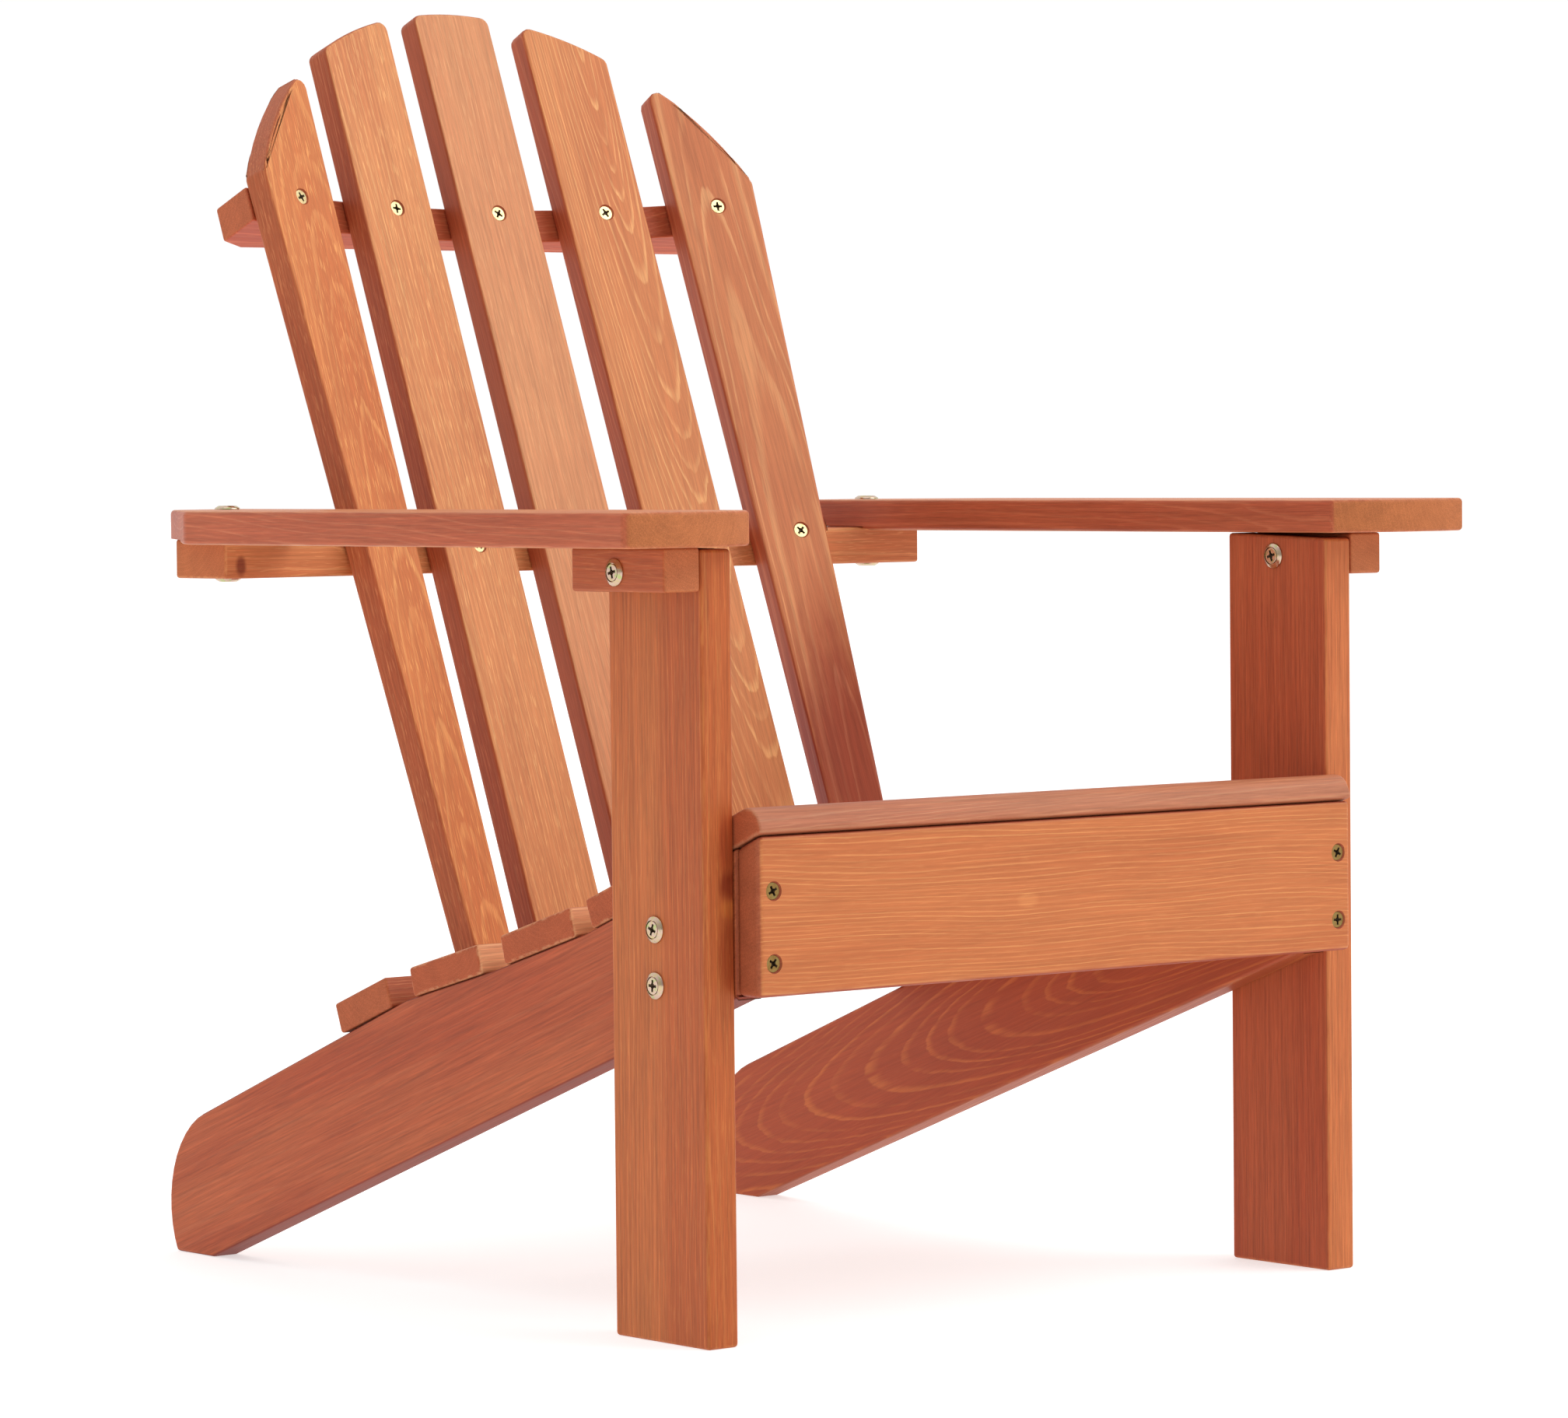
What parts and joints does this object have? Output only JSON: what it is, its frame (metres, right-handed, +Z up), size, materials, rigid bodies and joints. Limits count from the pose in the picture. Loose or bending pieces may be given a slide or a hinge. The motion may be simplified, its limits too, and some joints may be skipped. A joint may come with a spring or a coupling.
{
  "type": "adirondack chair",
  "caption": "Child-size Adirondack chair with an arched, reclined slatted back, scooped slatted seat, wide flat bowed armrests and side rails that run down to the floor behind.",
  "frame": {"origin": "on the floor under the middle of the chair's own box", "axes": "+Z up; the chair faces -Y; +X is the sitter's left"},
  "size_m": [0.536, 0.5112, 0.6497],
  "materials": {
    "stained_wood": "reddish orange stained softwood, satin, slightly worn along the edges",
    "yellow_screw": "yellow zinc plated countersunk wood screw",
    "zinc_bolt": "bright zinc plated bolt with a cup washer"
  },
  "bodies": {
    "root": {"arm_cross_rail": "stained_wood", "back_slat_1": "stained_wood", "back_slat_2": "stained_wood", "back_slat_3": "stained_wood", "back_slat_4": "stained_wood", "back_slat_5": "stained_wood", "front_apron": "stained_wood", "left_apron_screw_lower": "yellow_screw", "left_apron_screw_upper": "yellow_screw", "left_arm_bolt": "zinc_bolt", "left_arm_bracket": "stained_wood", "left_arm_screw": "yellow_screw", "left_armrest": "stained_wood", "left_bracket_bolt": "zinc_bolt", "left_front_leg": "stained_wood", "left_leg_bolt_lower": "zinc_bolt", "left_leg_bolt_upper": "zinc_bolt", "left_lower_rail_screw": "yellow_screw", "left_seat_screw_1": "yellow_screw", "left_seat_screw_2": "yellow_screw", "left_seat_screw_3": "yellow_screw", "left_seat_screw_4": "yellow_screw", "left_side_rail": "stained_wood", "lower_back_rail": "stained_wood", "right_apron_screw_lower": "yellow_screw", "right_apron_screw_upper": "yellow_screw", "right_arm_bolt": "zinc_bolt", "right_arm_bracket": "stained_wood", "right_arm_screw": "yellow_screw", "right_armrest": "stained_wood", "right_bracket_bolt": "zinc_bolt", "right_front_leg": "stained_wood", "right_leg_bolt_lower": "zinc_bolt", "right_leg_bolt_upper": "zinc_bolt", "right_lower_rail_screw": "yellow_screw", "right_seat_screw_1": "yellow_screw", "right_seat_screw_2": "yellow_screw", "right_seat_screw_3": "yellow_screw", "right_seat_screw_4": "yellow_screw", "right_side_rail": "stained_wood", "seat_slat_1": "stained_wood", "seat_slat_2": "stained_wood", "seat_slat_3": "stained_wood", "seat_slat_4": "stained_wood", "slat_screw_low_1": "yellow_screw", "slat_screw_low_2": "yellow_screw", "slat_screw_low_3": "yellow_screw", "slat_screw_low_4": "yellow_screw", "slat_screw_low_5": "yellow_screw", "slat_screw_mid_1": "yellow_screw", "slat_screw_mid_2": "yellow_screw", "slat_screw_mid_3": "yellow_screw", "slat_screw_mid_4": "yellow_screw", "slat_screw_mid_5": "yellow_screw", "slat_screw_top_1": "yellow_screw", "slat_screw_top_2": "yellow_screw", "slat_screw_top_3": "yellow_screw", "slat_screw_top_4": "yellow_screw", "slat_screw_top_5": "yellow_screw", "top_back_rail": "stained_wood"}
  },
  "joints": []
}
